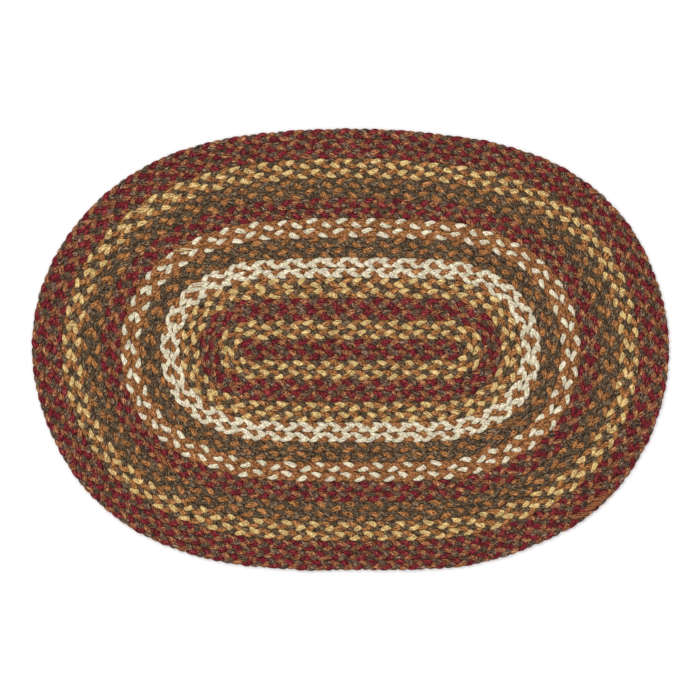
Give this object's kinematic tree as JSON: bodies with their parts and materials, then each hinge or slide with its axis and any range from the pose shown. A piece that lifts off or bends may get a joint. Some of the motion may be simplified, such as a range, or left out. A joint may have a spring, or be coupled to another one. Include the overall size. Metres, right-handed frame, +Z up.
{
  "type": "braided rug",
  "caption": "Small oval rug of flat jute braid, laced edge to edge in closed rounds, with bands of plaited burgundy, mustard, olive, rust and cream yarn. Lies flat.",
  "frame": {"origin": "on the floor, under the middle of the rug", "axes": "+X along the rug's length, +Y across it, +Z up, out of the ribbed top"},
  "size_m": [0.75, 0.52, 0.008],
  "materials": {
    "jute_braid": "matte"
  },
  "bodies": {
    "root": {"braided_rug": "jute_braid"}
  },
  "joints": []
}
